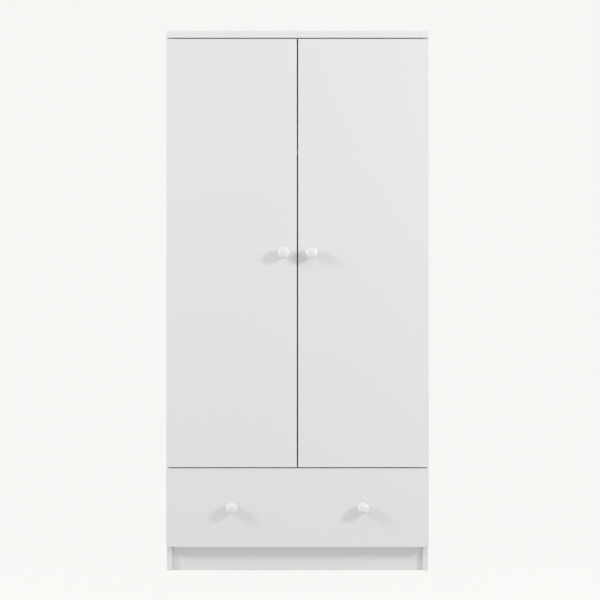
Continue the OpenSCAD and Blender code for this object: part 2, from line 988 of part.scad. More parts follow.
module drawer_bottom_batten() {
    color("burlywood") slab([-batten_w / 2, fronts_back_y, drawer_z],
                            [batten_w / 2, drawer_back_y, drawer_bottom_z]);
}

module drawer_knob_left() {
    color("snow") on_front(-drawer_knob_x, drawer_knob_z) knob();
}

module drawer_knob_right() {
    color("snow") on_front(drawer_knob_x, drawer_knob_z) knob();
}

module drawer_knob_screws() {
    color("silver") both_sides() on_front(-drawer_knob_x, drawer_knob_z) knob_screw();
}

// Angle under the drawer's side, with its rolling flange and its roller's axle
module drawer_runner() {
    web_x = -drawer_out_x - runner_t;
    axle_l = roller_side + roller_w + axle_end;
    difference() {
        union() {
            slab([web_x, fronts_back_y, drawer_z - runner_t],
                 [-drawer_out_x, drawer_back_y, flange_z + runner_t]);
            slab([web_x, fronts_back_y, drawer_z - runner_t],
                 [-drawer_out_x + drawer_flange_w, drawer_back_y, drawer_z]);
            slab([web_x - flange_w + roller_side, fronts_back_y, flange_z],
                 [-drawer_out_x, drawer_back_y, flange_z + runner_t]);
            rod_x([web_x - axle_l, drawer_roller_y, drawer_roller_z], axle_l, axle_r);
            rod_x([web_x - axle_l - axle_head_t, drawer_roller_y, drawer_roller_z],
                  axle_head_t, axle_head_r);
        }
        left_drawer_runner_screws();
    }
}

module drawer_runner_left() {
    color("white") drawer_runner();
}

module drawer_runner_right() {
    color("white") mirror([1, 0, 0]) drawer_runner();
}

module drawer_runner_screws() {
    color("silver") both_sides() left_drawer_runner_screws();
}

module drawer_cam_fittings() {
    color("silver") both_sides() left_drawer_cams();
}

module drawer_back_screws() {
    color("silver") both_sides() left_drawer_back_screws();
}

// Roller with its bore, which turns on the axle
module roller(x) {
    difference() {
        rod_x([x, 0, 0], roller_w, roller_r);
        rod_x([x - overcut, 0, 0], roller_w + 2 * overcut, axle_r + turn_clear);
    }
}

module cabinet_roller() {
    translate([0, cabinet_roller_y, cabinet_roller_z])
        roller(-inner_x + runner_t + roller_side);
}

module drawer_roller() {
    translate([0, drawer_roller_y, drawer_roller_z])
        roller(-drawer_out_x - runner_t - roller_side - roller_w);
}

module cabinet_roller_left() {
    color("white") cabinet_roller();
}

module cabinet_roller_right() {
    color("white") mirror([1, 0, 0]) cabinet_roller();
}

module drawer_roller_left() {
    color("white") drawer_roller();
}

module drawer_roller_right() {
    color("white") mirror([1, 0, 0]) drawer_roller();
}

left_side_panel();
right_side_panel();
top_panel();
base_panel();
hanging_space_floor();
front_plinth();
rear_plinth();
top_shelf();
back_panel_left();
back_panel_right();
back_joining_strip();
back_panel_nails();
hanging_rail();
rail_socket_left();
rail_socket_right();
rail_socket_screws();
shelf_pins();
left_hinge_arms();
right_hinge_arms();
hinge_plates();
hinge_screws();
cabinet_runner_left();
cabinet_runner_right();
cabinet_runner_screws();
cabinet_cam_locks();
cabinet_cam_bolts();
cabinet_dowels();
wall_brackets();
wall_bracket_screws();
door_bumpers();
left_door_panel();
left_door_knob();
left_knob_screw();
left_hinge_cups();
left_hinge_pins();
left_cup_screws();
right_door_panel();
right_door_knob();
right_knob_screw();
right_hinge_cups();
right_hinge_pins();
right_cup_screws();
drawer_front();
drawer_side_left();
drawer_side_right();
drawer_back();
drawer_bottom();
drawer_bottom_batten();
drawer_knob_left();
drawer_knob_right();
drawer_knob_screws();
drawer_runner_left();
drawer_runner_right();
drawer_runner_screws();
drawer_cam_fittings();
drawer_back_screws();
cabinet_roller_left();
cabinet_roller_right();
drawer_roller_left();
drawer_roller_right();
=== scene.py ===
import json
import math

import bmesh
import bpy
from bpy.props import FloatProperty, FloatVectorProperty, IntProperty, PointerProperty
from bpy.types import Operator, Panel, PropertyGroup
from mathutils import Matrix, Vector


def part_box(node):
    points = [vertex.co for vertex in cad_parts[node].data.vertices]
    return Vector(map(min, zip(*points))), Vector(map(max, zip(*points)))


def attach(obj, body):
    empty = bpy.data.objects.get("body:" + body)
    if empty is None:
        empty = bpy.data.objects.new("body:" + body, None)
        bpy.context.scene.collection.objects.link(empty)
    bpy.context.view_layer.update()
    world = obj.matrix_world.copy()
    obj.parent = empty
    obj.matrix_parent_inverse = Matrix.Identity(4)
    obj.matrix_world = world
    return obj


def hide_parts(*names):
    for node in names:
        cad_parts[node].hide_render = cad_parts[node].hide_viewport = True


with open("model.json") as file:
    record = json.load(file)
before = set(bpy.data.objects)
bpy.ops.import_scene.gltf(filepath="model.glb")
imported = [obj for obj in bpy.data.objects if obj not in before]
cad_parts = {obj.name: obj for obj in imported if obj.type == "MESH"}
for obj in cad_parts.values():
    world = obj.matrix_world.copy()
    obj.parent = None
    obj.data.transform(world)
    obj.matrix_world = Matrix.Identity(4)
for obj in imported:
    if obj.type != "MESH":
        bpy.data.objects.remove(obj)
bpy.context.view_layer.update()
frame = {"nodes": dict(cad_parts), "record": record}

bl_info = {
    "name": "Wardrobe finishes",
    "version": (1, 0, 0),
    "blender": (4, 5, 0),
    "location": "3D View > Sidebar > Wardrobe",
    "description": "Dresses the wardrobe's frame: boards, knobs, hinges, runners and fasteners",
    "category": "Object",
}

BODY_OF = {
    node: body
    for body, members in frame["record"]["behaviour"]["bodies"].items()
    for node in members
}
AXES = "xyz"
FRONT_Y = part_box("drawer_front")[0].y
MM = 0.001

# How close two lengths have to be to count as the same.
SAME_POINT = 0.002 * MM
ON_PLANE = 0.01 * MM
SAME_RADIUS = 0.02 * MM
SAME_LENGTH = 0.1 * MM
ON_AXIS = 1e-7
ON_RING = 1e-6
# Least share of a face's normal along an axis: square to it, and looking that way at all.
SQUARE = 0.99999
FACING = 0.2
# Bends between two faces: joined as flat, shaded as smooth, and rounded off.
FLAT_BEND = math.radians(0.4)
SMOOTH_BEND = math.radians(38)
SHARP_BEND = math.radians(50)
# Rounding of parts that are softer or finer than the other pressed ones.
RAIL_ROUND = 0.1 * MM
RUNNER_ROUND = 0.3 * MM
# Slots of a board's materials.
FACE, BAND, CORE, BARE = range(4)

# Which edges of each board carry an edge band. The others show the bare core.
BANDED = {
    "left_side_panel": ("-y",),
    "right_side_panel": ("-y",),
    "top_panel": ("-y", "-x", "+x"),
    "base_panel": ("-y",),
    "hanging_space_floor": ("-y",),
    "front_plinth": (),
    "rear_plinth": (),
    "top_shelf": ("-y",),
    "left_door_panel": ("-x", "+x", "-z", "+z"),
    "right_door_panel": ("-x", "+x", "-z", "+z"),
    "drawer_front": ("-x", "+x", "-z", "+z"),
    "drawer_side_left": ("+z",),
    "drawer_side_right": ("+z",),
    "drawer_back": ("+z",),
}
# Thin sheets: white on the side named here and bare on the other.
SHEETS = {"back_panel_left": "-y", "back_panel_right": "-y", "drawer_bottom": "+z"}
METAL_PARTS = (
    "rail_socket_left", "rail_socket_right", "left_hinge_arms", "right_hinge_arms",
    "hinge_plates", "left_hinge_cups", "right_hinge_cups", "wall_brackets",
)
RUNNERS = (
    "cabinet_runner_left", "cabinet_runner_right", "drawer_runner_left", "drawer_runner_right",
)
ROLLERS = (
    "cabinet_roller_left", "cabinet_roller_right", "drawer_roller_left", "drawer_roller_right",
)
KNOBS = ("left_door_knob", "right_door_knob", "drawer_knob_left", "drawer_knob_right")
SCREWS = (
    "hinge_screws", "rail_socket_screws", "cabinet_runner_screws", "wall_bracket_screws",
    "left_cup_screws", "right_cup_screws", "drawer_runner_screws", "drawer_back_screws",
    "left_knob_screw", "right_knob_screw", "drawer_knob_screws",
)
# Inputs of the screw tree, with a middling screw's sizes in mm.
SCREW_SIZES = {
    "Head Radius": 3.6, "Head Bottom Radius": 1.75, "Head Height": 2.2, "Shank Radius": 1.75,
    "Shank Length": 14.0, "Recess Length": 3.6, "Recess Width": 0.8, "Recess Depth": 0.9,
}
# Soft lights: place, width, height, watts and colour.
SOFT_LIGHTS = {
    "right_box": ((3.23, -1.93, 2.21), 0.7, 0.7, 58, (0.98, 0.99, 1.0)),
    "left_box": ((-3.38, -1.53, 2.28), 0.8, 1.1, 49, (1.0, 1.0, 1.0)),
}
LIT_POINT = (0, FRONT_Y, 0.85)
# Strength of the room's light from the front and from everywhere else.
ROOM_FRONT = 0.5
ROOM_REST = 0.76
# The backdrop's own light on the wardrobe and to the camera, and the share that it reflects.
PAPER_LIGHT = 0.68
PAPER_SEEN = 0.947
PAPER_SHARE = 0.06


# -------- settings

class WardrobeSizes(PropertyGroup):
    """Sizes that the finished pieces add to the frame."""

    board_round: FloatProperty(
        name="Board edge radius", description="Rounding of a board's long edges",
        default=0.7 * MM, min=0.1 * MM, max=2 * MM, subtype="DISTANCE", unit="LENGTH")
    metal_round: FloatProperty(
        name="Metal edge radius", description="Rounding of a pressed part's edges",
        default=0.2 * MM, min=0.05 * MM, max=0.5 * MM, subtype="DISTANCE", unit="LENGTH")
    knob_foot: FloatProperty(
        name="Knob foot radius", description="Radius of the knob where it meets the front",
        default=10 * MM, min=8 * MM, max=14 * MM, subtype="DISTANCE", unit="LENGTH")
    knob_neck: FloatProperty(
        name="Knob neck radius", description="Radius of the knob's narrowest ring",
        default=8 * MM, min=6 * MM, max=10 * MM, subtype="DISTANCE", unit="LENGTH")
    knob_turns: IntProperty(
        name="Knob segments", description="Number of segments round a knob",
        default=96, min=24, max=192)
    recess_depth: FloatProperty(
        name="Recess depth", description="Depth of the cross recess in a screw's head",
        default=0.9 * MM, min=0.3 * MM, max=2 * MM, subtype="DISTANCE", unit="LENGTH")


class WardrobeColours(PropertyGroup):
    """Colours of the wardrobe's finishes, as linear values."""

    board: FloatVectorProperty(
        name="Board", description="White melamine on the boards' faces",
        default=(0.815, 0.832, 0.828), size=3, min=0, max=1, subtype="COLOR")
    band: FloatVectorProperty(
        name="Edge band", description="White band on the boards' edges",
        default=(0.825, 0.835, 0.828), size=3, min=0, max=1, subtype="COLOR")
    core: FloatVectorProperty(
        name="Core", description="Light chips in a board's core",
        default=(0.52, 0.37, 0.21), size=3, min=0, max=1, subtype="COLOR")
    sheet: FloatVectorProperty(
        name="Hardboard", description="Bare side of the back panels and the drawer bottom",
        default=(0.27, 0.155, 0.075), size=3, min=0, max=1, subtype="COLOR")
    knob: FloatVectorProperty(
        name="Knobs", description="Glossy white of the knobs",
        default=(0.84, 0.845, 0.84), size=3, min=0, max=1, subtype="COLOR")
    steel: FloatVectorProperty(
        name="Steel", description="Plating of hinges, screws and fittings",
        default=(0.56, 0.56, 0.57), size=3, min=0, max=1, subtype="COLOR")


class WardrobeStage(PropertyGroup):
    """Camera and floor around the wardrobe."""

    camera_distance: FloatProperty(
        name="Camera distance", description="From the camera to the plane of the fronts",
        default=4.5, min=2, max=12, subtype="DISTANCE", unit="LENGTH")
    camera_height: FloatProperty(
        name="Camera height", description="Height of the camera above the floor",
        default=0.854, min=0, max=2, subtype="DISTANCE", unit="LENGTH")
    camera_side: FloatProperty(
        name="Camera offset", description="How far the camera stands to the right of the middle",
        default=0.0079, min=-1, max=1, subtype="DISTANCE", unit="LENGTH")
    view_width: FloatProperty(
        name="View width", description="Width of the view at the plane of the fronts",
        default=1.885, min=1, max=4, subtype="DISTANCE", unit="LENGTH")
    floor_colour: FloatVectorProperty(
        name="Floor", description="Colour of the floor and the backdrop",
        default=(0.939, 0.93, 0.913), size=3, min=0, max=1, subtype="COLOR")


def sizes():
    """The scene's size settings."""
    return bpy.context.scene.wardrobe_sizes


def colours():
    """The scene's colour settings."""
    return bpy.context.scene.wardrobe_colours


# -------- shader groups

def add_socket(tree, label, kind, way="INPUT", value=None):
    """A named socket on a node group."""
    socket = tree.interface.new_socket(label, in_out=way, socket_type="NodeSocket" + kind)
    if value is not None:
        socket.default_value = value


def add_node(tree, kind, values=None, **settings):
    """A node with its settings and its unlinked inputs; a linked input is given as a socket."""
    node = tree.nodes.new(kind)
    for key, value in settings.items():
        setattr(node, key, value)
    for key, value in (values or {}).items():
        if isinstance(value, bpy.types.NodeSocket):
            tree.links.new(value, node.inputs[key])
        else:
            node.inputs[key].default_value = value
    return node


def mix_colour(tree, factor, first, second, blend="MIX"):
    """A colour mixed from two others; each is a socket or a colour."""
    node = tree.nodes.new("ShaderNodeMix")
    node.data_type = "RGBA"
    node.blend_type = blend
    for key, value in (("Factor_Float", factor), ("A_Color", first), ("B_Color", second)):
        socket = next(s for s in node.inputs if s.identifier == key)
        if isinstance(value, bpy.types.NodeSocket):
            tree.links.new(value, socket)
        else:
            socket.default_value = value if key == "Factor_Float" else (*value[:3], 1)
    return next(s for s in node.outputs if s.identifier == "Result_Color")


def spread(tree, value, low, high):
    """A value between 0 and 1 turned into one between low and high."""
    node = add_node(tree, "ShaderNodeMapRange", {"Value": value, "To Min": low, "To Max": high})
    return node.outputs["Result"]


def pattern_group(name, given_sockets):
    """A new group: a vector and other inputs in, and a colour, a roughness and a height out."""
    tree = bpy.data.node_groups.new(name, "ShaderNodeTree")
    add_socket(tree, "Vector", "Vector")
    for label, kind, value in given_sockets:
        add_socket(tree, label, kind, value=value)
    for label, kind in (("Colour", "Color"), ("Roughness", "Float"), ("Height", "Float")):
        add_socket(tree, label, kind, way="OUTPUT")
    given = tree.nodes.new("NodeGroupInput").outputs
    made = tree.nodes.new("NodeGroupOutput").inputs
    return tree, given, made


def product(tree, first, second, **settings):
    """Two values multiplied."""
    node = add_node(tree, "ShaderNodeMath", {0: first, 1: second}, operation="MULTIPLY",
                    **settings)
    return node.outputs[0]


def noise(tree, vector, scale, detail, roughness=0.5):
    """Grey value of a noise texture."""
    node = add_node(tree, "ShaderNodeTexNoise", {"Vector": vector, "Scale": scale,
                                                 "Detail": detail, "Roughness": roughness})
    return node.outputs["Fac"]


def mottle_group():
    """Slow and fine unevenness of a coated or moulded surface."""
    name = "Mottled coating"
    if name in bpy.data.node_groups:
        return bpy.data.node_groups[name]
    tree, given, made = pattern_group(name, (
        ("Colour", "Color", (0.8, 0.8, 0.8, 1)),
        ("Second Colour", "Color", (0.7, 0.7, 0.7, 1)),
        ("Cloud Scale", "Float", 6.0),
        ("Grain Scale", "Float", 700.0),
        ("Amount", "Float", 0.1),
        ("Roughness Low", "Float", 0.3),
        ("Roughness High", "Float", 0.4),
    ))
    cloud = noise(tree, given["Vector"], given["Cloud Scale"], detail=4.0)
    grain = noise(tree, given["Vector"], given["Grain Scale"], detail=2.0)
    share = product(tree, product(tree, cloud, grain), given["Amount"])
    colour = mix_colour(tree, share, given["Colour"], given["Second Colour"])
    tree.links.new(colour, made["Colour"])
    rough = spread(tree, cloud, given["Roughness Low"], given["Roughness High"])
    tree.links.new(rough, made["Roughness"])
    tree.links.new(grain, made["Height"])
    return tree


def chips_group():
    """Pressed wood chips or fibres: small cells of light and dark wood."""
    name = "Pressed chips"
    if name in bpy.data.node_groups:
        return bpy.data.node_groups[name]
    tree, given, made = pattern_group(name, (
        ("Light", "Color", (0.5, 0.36, 0.2, 1)),
        ("Dark", "Color", (0.2, 0.12, 0.05, 1)),
        ("Chip Scale", "Float", 420.0),
        ("Contrast", "Float", 0.8),
    ))
    rough_low, rough_high = 0.72, 0.95
    cells = add_node(tree, "ShaderNodeTexVoronoi",
                     {"Vector": given["Vector"], "Scale": given["Chip Scale"]})
    tone = add_node(tree, "ShaderNodeSeparateColor", {"Color": cells.outputs["Color"]})
    dust = noise(tree, given["Vector"], scale=60.0, detail=6.0)
    both = product(tree, tone.outputs["Red"], dust)
    share = product(tree, both, given["Contrast"], use_clamp=True)
    tree.links.new(mix_colour(tree, share, given["Light"], given["Dark"]), made["Colour"])
    tree.links.new(spread(tree, both, rough_low, rough_high), made["Roughness"])
    tree.links.new(cells.outputs["Distance"], made["Height"])
    return tree


def scratch_group():
    """Fine brushed lines that run along one axis, over slow clouds of roughness."""
    name = "Fine scratches"
    if name in bpy.data.node_groups:
        return bpy.data.node_groups[name]
    tree, given, made = pattern_group(name, (
        ("Colour", "Color", (0.6, 0.6, 0.6, 1)),
        ("Stretch", "Vector", (300.0, 300.0, 25.0)),
        ("Roughness Low", "Float", 0.2),
        ("Roughness High", "Float", 0.4),
    ))
    shade_low, shade_high = 0.86, 1.1
    along = add_node(tree, "ShaderNodeVectorMath", {0: given["Vector"], 1: given["Stretch"]},
                     operation="MULTIPLY")
    lines = noise(tree, along.outputs[0], scale=4.0, detail=6.0, roughness=0.7)
    cloud = noise(tree, given["Vector"], scale=45.0, detail=3.0)
    shade = spread(tree, lines, shade_low, shade_high)
    tint = add_node(tree, "ShaderNodeVectorMath", {0: given["Colour"], "Scale": shade},
                    operation="SCALE")
    tree.links.new(tint.outputs[0], made["Colour"])
    both = add_node(tree, "ShaderNodeMath", {0: lines, 1: cloud}, operation="ADD")
    half = product(tree, both.outputs[0], 0.5)
    rough = spread(tree, half, given["Roughness Low"], given["Roughness High"])
    tree.links.new(rough, made["Roughness"])
    tree.links.new(lines, made["Height"])
    return tree


# -------- materials

def finish_material(name, group, values, bump, **constants):
    """A Principled material whose colour, roughness and relief come from a shared group."""
    if name in bpy.data.materials:
        return bpy.data.materials[name]
    material = bpy.data.materials.new(name)
    material.use_nodes = True
    tree = material.node_tree
    shader = tree.nodes["Principled BSDF"]
    place = tree.nodes.new("ShaderNodeTexCoord")
    pattern = tree.nodes.new("ShaderNodeGroup")
    pattern.node_tree = group
    tree.links.new(place.outputs["Object"], pattern.inputs["Vector"])
    for key, value in values.items():
        socket = pattern.inputs[key]
        socket.default_value = (*value[:3], 1) if socket.type == "RGBA" else value
    relief = add_node(tree, "ShaderNodeBump",
                      {"Height": pattern.outputs["Height"], "Distance": bump, "Strength": 1.0})
    tree.links.new(pattern.outputs["Colour"], shader.inputs["Base Color"])
    tree.links.new(pattern.outputs["Roughness"], shader.inputs["Roughness"])
    tree.links.new(relief.outputs["Normal"], shader.inputs["Normal"])
    for key, value in constants.items():
        shader.inputs[key.replace("_", " ")].default_value = value
    material.diffuse_color = (*shader.inputs["Base Color"].default_value[:3], 1)
    return material


def shade_of(colour, share):
    """A colour made lighter or darker by a share."""
    return tuple(min(1.0, channel * share) for channel in colour)


def mottled(name, colour, second, cloud, grain, amount, rough, bump, **constants):
    """A coated or moulded finish: one colour, with a little of a second mixed in."""
    return finish_material(
        name, mottle_group(),
        {"Colour": colour, "Second Colour": second, "Cloud Scale": cloud, "Grain Scale": grain,
         "Amount": amount, "Roughness Low": rough[0], "Roughness High": rough[1]},
        bump, **constants)


def chipped(name, light, dark, chip, contrast, bump):
    """A pressed wood finish."""
    return finish_material(
        name, chips_group(),
        {"Light": light, "Dark": dark, "Chip Scale": chip, "Contrast": contrast}, bump)


def brushed(name, colour, stretch, rough, bump, **constants):
    """A finish with fine lines along the axis that is stretched least."""
    return finish_material(
        name, scratch_group(),
        {"Colour": colour, "Stretch": stretch, "Roughness Low": rough[0],
         "Roughness High": rough[1]},
        bump, **constants)


def melamine_material():
    """Satin white melamine with a very fine pearl."""
    white = colours().board
    return mottled("melamine_face", white, shade_of(white, 0.93), cloud=3.5, grain=900.0,
                   amount=0.35, rough=(0.33, 0.45), bump=0.006 * MM, Specular_IOR_Level=0.42)


def band_material():
    """Edge band: the same white, a little smoother."""
    white = colours().band
    return mottled("edge_band", white, shade_of(white, 0.9), cloud=14.0, grain=1400.0,
                   amount=0.3, rough=(0.28, 0.4), bump=0.01 * MM, Specular_IOR_Level=0.45)


def core_material():
    """Bare chipboard on cut edges and in drilled holes."""
    light = colours().core
    return chipped("chipboard_core", light, shade_of(light, 0.42), chip=520.0, contrast=1.5,
                   bump=0.25 * MM)


def hardboard_material():
    """Bare brown side of the hardboard."""
    brown = colours().sheet
    return chipped("hardboard_bare", brown, shade_of(brown, 0.55), chip=760.0, contrast=1.2,
                   bump=0.05 * MM)


def lacquer_material():
    """Thin white lacquer on the inner side of the hardboard."""
    white = shade_of(colours().board, 0.96)
    return mottled("hardboard_lacquer", white, shade_of(white, 0.86), cloud=9.0, grain=320.0,
                   amount=0.6, rough=(0.4, 0.6), bump=0.03 * MM)


def knob_material():
    """Glossy moulded white plastic."""
    white = colours().knob
    return mottled("knob_gloss", white, shade_of(white, 0.94), cloud=30.0, grain=500.0,
                   amount=0.3, rough=(0.07, 0.15), bump=0.004 * MM, IOR=1.52, Coat_Weight=0.5,
                   Coat_Roughness=0.05)


def steel_material():
    """Bright zinc and nickel plating on pressed steel."""
    return brushed("plated_steel", colours().steel, stretch=(260.0, 260.0, 60.0),
                   rough=(0.2, 0.42), bump=0.01 * MM, Metallic=1.0)


def chrome_material():
    """Polished chrome on the hanging rail, with fine lines along it."""
    return brushed("rail_chrome", shade_of(colours().steel, 1.3), stretch=(8.0, 420.0, 420.0),
                   rough=(0.05, 0.16), bump=0.004 * MM, Metallic=1.0)


def epoxy_material():
    """White epoxy powder on the runners."""
    white = shade_of(colours().board, 0.97)
    return mottled("runner_epoxy", white, shade_of(white, 0.88), cloud=40.0, grain=650.0,
                   amount=0.5, rough=(0.3, 0.5), bump=0.03 * MM)


def plastic_material():
    """Matt white plastic of the rollers and the joining strip."""
    white = shade_of(colours().board, 0.95)
    return mottled("matt_plastic", white, shade_of(white, 0.84), cloud=60.0, grain=900.0,
                   amount=0.5, rough=(0.42, 0.6), bump=0.02 * MM, Subsurface_Weight=0.05)


def beech_material():
    """Bare beech of the dowels and the batten."""
    return brushed("bare_beech", (0.6, 0.41, 0.23), stretch=(160.0, 6.0, 160.0),
                   rough=(0.55, 0.75), bump=0.05 * MM)


def rubber_material():
    """Soft translucent bumper."""
    return mottled("bumper_rubber", (0.62, 0.62, 0.6), (0.5, 0.5, 0.48), cloud=200.0,
                   grain=900.0, amount=0.5, rough=(0.3, 0.45), bump=0.01 * MM,
                   Transmission_Weight=0.3)


# -------- shapes

def merged_copy(name):
    """A bmesh of a CAD node with its loose triangles merged."""
    form = bmesh.new()
    form.from_mesh(frame["nodes"][name].data)
    bmesh.ops.remove_doubles(form, verts=form.verts, dist=SAME_POINT)
    return form


def flattened_copy(name):
    """A merged copy of a CAD node with the triangles of each flat face joined."""
    form = merged_copy(name)
    bmesh.ops.dissolve_limit(form, angle_limit=FLAT_BEND, verts=form.verts, edges=form.edges)
    return form


def box_edges(form, low, high):
    """The edges that lie along the twelve edges of a box."""
    def sides(vertex):
        return {
            (axis, far)
            for axis in range(3)
            for far, corner in ((0, low), (1, high))
            if abs(vertex.co[axis] - corner[axis]) < ON_PLANE
        }
    return [
        edge for edge in form.edges
        if len(sides(edge.verts[0]) & sides(edge.verts[1])) >= 2
    ]


def sharp_edges(form):
    """The convex edges where two faces meet at a sharp bend."""
    return [
        edge for edge in form.edges
        if len(edge.link_faces) == 2 and edge.is_convex
        and edge.calc_face_angle(0) > SHARP_BEND
    ]


def rounded(form, edges, radius, steps):
    """Rounds some edges of a form."""
    bmesh.ops.bevel(form, geom=edges, offset=radius, segments=steps, profile=0.5,
                    affect="EDGES", clamp_overlap=True)


def piece_from(form, name, materials):
    """Turns a bmesh into an object at the origin, smooth over bends and sharp at corners."""
    mesh = bpy.data.meshes.new(name)
    form.to_mesh(mesh)
    form.free()
    return piece_from_mesh(mesh, name, materials)


def piece_from_mesh(mesh, name, materials):
    """Gives a mesh its materials and its shading, and makes it an object."""
    if mesh.materials:
        mesh.materials.clear()
    for material in materials:
        mesh.materials.append(material)
    mesh.shade_smooth()
    mesh.set_sharp_from_angle(angle=SMOOTH_BEND)
    piece = bpy.data.objects.new(name, mesh)
    bpy.context.scene.collection.objects.link(piece)
    weight = piece.modifiers.new("Flat faces stay flat", "WEIGHTED_NORMAL")
    weight.keep_sharp = True
    return plain(piece)


def plain(piece):
    """Replaces an object's mesh with its evaluated one and drops its modifiers."""
    bpy.context.view_layer.update()
    seen = piece.evaluated_get(bpy.context.evaluated_depsgraph_get())
    mesh = bpy.data.meshes.new_from_object(seen)
    mesh.name = piece.name
    piece.modifiers.clear()
    piece.data = mesh
    return piece


def level(piece):
    """Shades the faces that lie square to an axis dead flat, right up to their holes."""
    mesh = piece.data
    normals = [tuple(corner.vector) for corner in mesh.corner_normals]
    for face in mesh.polygons:
        if max(abs(part) for part in face.normal) > SQUARE:
            for corner in face.loop_indices:
                normals[corner] = tuple(face.normal)
    mesh.normals_split_custom_set(normals)
    return piece


def stands_for(piece, node):
    """The piece takes the place and the body of a CAD node."""
    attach(piece, BODY_OF[node])
    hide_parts(node)
    return piece


def lathe(profile, turns):
    """A form turned about Z from (radius, height) points; a point on the axis closes it."""
    form = bmesh.new()
    rings = []
    for radius, height in profile:
        if radius < ON_AXIS:
            rings.append([form.verts.new((0, 0, height))])
            continue
        rings.append([
            form.verts.new((radius * math.cos(angle), radius * math.sin(angle), height))
            for angle in (2 * math.pi * turn / turns for turn in range(turns))
        ])
    for below, above in zip(rings, rings[1:]):
        for turn in range(turns):
            after = (turn + 1) % turns
            ring = [below[turn % len(below)], below[after % len(below)],
                    above[after % len(above)], above[turn % len(above)]]
            corners = list(dict.fromkeys(ring))
            if len(corners) > 2:
                form.faces.new(corners)
    bmesh.ops.recalc_face_normals(form, faces=form.faces)
    return form


def arc(middle, radius, start, end, steps):
    """Points on an arc, from one angle to another in degrees."""
    turns = [math.radians(start + (end - start) * step / steps) for step in range(steps + 1)]
    return [
        (middle[0] + radius * math.cos(turn), middle[1] + radius * math.sin(turn))
        for turn in turns
    ]


def sides_of_box(face, low, high, reach):
    """The box sides that a face lies on and looks out of, as {axis: '-' or '+'}."""
    centre = face.calc_center_median()
    facing = {}
    for axis in range(3):
        below, above = centre[axis] - low[axis], high[axis] - centre[axis]
        if below < reach and face.normal[axis] < -FACING:
            facing[axis] = "-"
        elif above < reach <= below and face.normal[axis] > FACING:
            facing[axis] = "+"
    return facing


def board(name, banded, white_side=None):
    """A board or sheet: rounded edges, with melamine, edge band and bare core."""
    round_share, round_steps = 0.2, 3
    low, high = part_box(name)
    extent = high - low
    across = min(range(3), key=lambda axis: extent[axis])
    form = flattened_copy(name)
    radius = min(sizes().board_round, extent[across] * round_share)
    rounded(form, box_edges(form, low, high), radius, round_steps)
    form.normal_update()
    for face in form.faces:
        facing = sides_of_box(face, low, high, radius)
        edges = {facing[axis] + AXES[axis] for axis in facing if axis != across}
        if edges:
            face.material_index = BAND if edges & set(banded) else CORE
        elif across in facing:
            side = facing[across] + AXES[across]
            face.material_index = FACE if white_side in (None, side) else BARE
        else:
            face.material_index = CORE
    face_white = melamine_material() if white_side is None else lacquer_material()
    core = core_material() if white_side is None else hardboard_material()
    piece = piece_from(form, name + "_finished",
                       [face_white, band_material(), core, hardboard_material()])
    return stands_for(level(piece), name)


def softened(name, material, radius=None):
    """A pressed or moulded part with its sharp outer edges rounded."""
    round_steps = 2
    form = flattened_copy(name)
    rounded(form, sharp_edges(form), radius or sizes().metal_round, round_steps)
    return stands_for(level(piece_from(form, name + "_finished", [material])), name)


def carried(name, material):
    """A CAD node that keeps its own shape and takes a finish."""
    mesh = frame["nodes"][name].data
    mesh.materials.clear()
    mesh.materials.append(material)
    mesh.shade_smooth()
    mesh.set_sharp_from_angle(angle=SMOOTH_BEND)


def knob(name):
    """A turned knob: foot, waisted neck and a full round head."""
    neck_reach, chamfer = 5 * MM, 0.4 * MM
    waist, waist_lift = 3 * MM, 0.9 * MM
    waist_start, waist_end, waist_steps = 250, 180, 10
    head_start, head_end, head_steps = -52, 78, 40
    dome_steps = 10
    low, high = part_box(name)
    reach = high.y - low.y
    head = (high.x - low.x) / 2
    foot, neck = sizes().knob_foot, sizes().knob_neck
    half = (reach - neck_reach) / 2
    profile = [(0, 0), (foot - chamfer, 0), (foot, chamfer)]
    profile += arc((neck + waist, waist_lift + waist), waist, waist_start, waist_end,
                   waist_steps)
    profile += arc((head - half, reach - half), half, head_start, head_end, head_steps)
    dome = profile[-1]
    profile += [
        (dome[0] * (1 - step / dome_steps),
         dome[1] + (reach - dome[1]) * math.sin(math.pi / 2 * step / dome_steps))
        for step in range(1, dome_steps)
    ]
    profile.append((0, reach))
    form = lathe(profile, sizes().knob_turns)
    place = Vector(((low.x + high.x) / 2, high.y, (low.z + high.z) / 2))
    form.transform(Matrix.Translation(place) @ Matrix.Rotation(math.pi / 2, 4, "X"))
    return stands_for(piece_from(form, name + "_turned", [knob_material()]), name)


